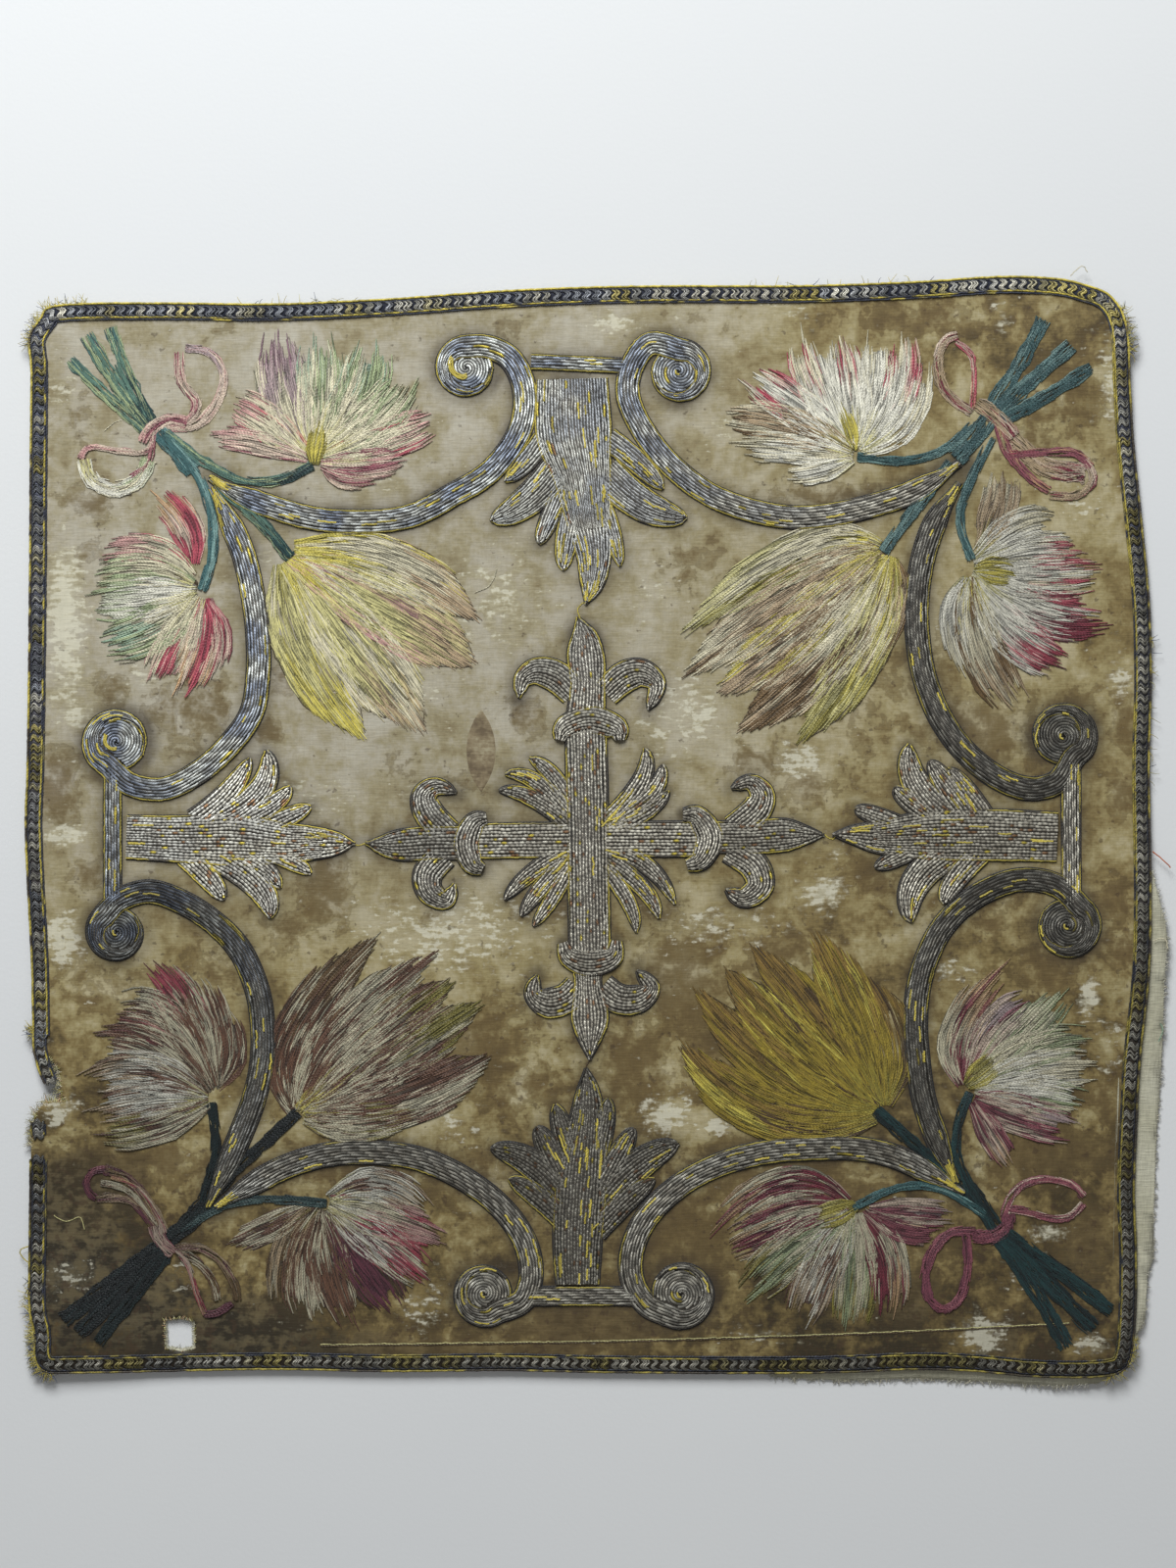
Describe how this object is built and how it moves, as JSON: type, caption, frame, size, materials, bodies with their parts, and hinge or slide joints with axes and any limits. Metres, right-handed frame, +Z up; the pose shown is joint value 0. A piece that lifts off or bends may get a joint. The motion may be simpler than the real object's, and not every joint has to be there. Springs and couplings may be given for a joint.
{
  "type": "chalice veil",
  "caption": "Worn square silk chalice veil with linen backing, braid edging, a raised metal-thread cross and scrolls, and tulip bunches in its corners.",
  "frame": {"origin": "under the middle of the veil, on the surface that it lies on", "axes": "+X to the right and +Y to the top of the worked face, +Z up out of the worked face"},
  "size_m": [0.565, 0.549, 0.0066],
  "materials": {
    "linen": "undyed linen, plain weave, matt and frayed at its edges",
    "silk": "worn and stained ribbed silk, with a soft sheen",
    "braid": "woven braid of tarnished metal thread over a yellow silk core",
    "metal_thread": "couched tarnished silver thread with yellow silk showing, low metallic sheen"
  },
  "bodies": {
    "root": {"linen_backing": "linen", "silk_ground": "silk", "edge_braid": "braid", "braid_scrap": "braid", "cross": "metal_thread", "palmette_top": "metal_thread", "palmette_left": "metal_thread", "palmette_right": "metal_thread", "palmette_bottom": "metal_thread", "scroll_top_left": "metal_thread", "scroll_top_right": "metal_thread", "scroll_left_top": "metal_thread", "scroll_left_bottom": "metal_thread", "scroll_right_top": "metal_thread", "scroll_right_bottom": "metal_thread", "scroll_bottom_left": "metal_thread", "scroll_bottom_right": "metal_thread", "bar_top": "metal_thread", "bar_left": "metal_thread", "bar_right": "metal_thread", "bar_bottom": "metal_thread"}
  },
  "joints": []
}
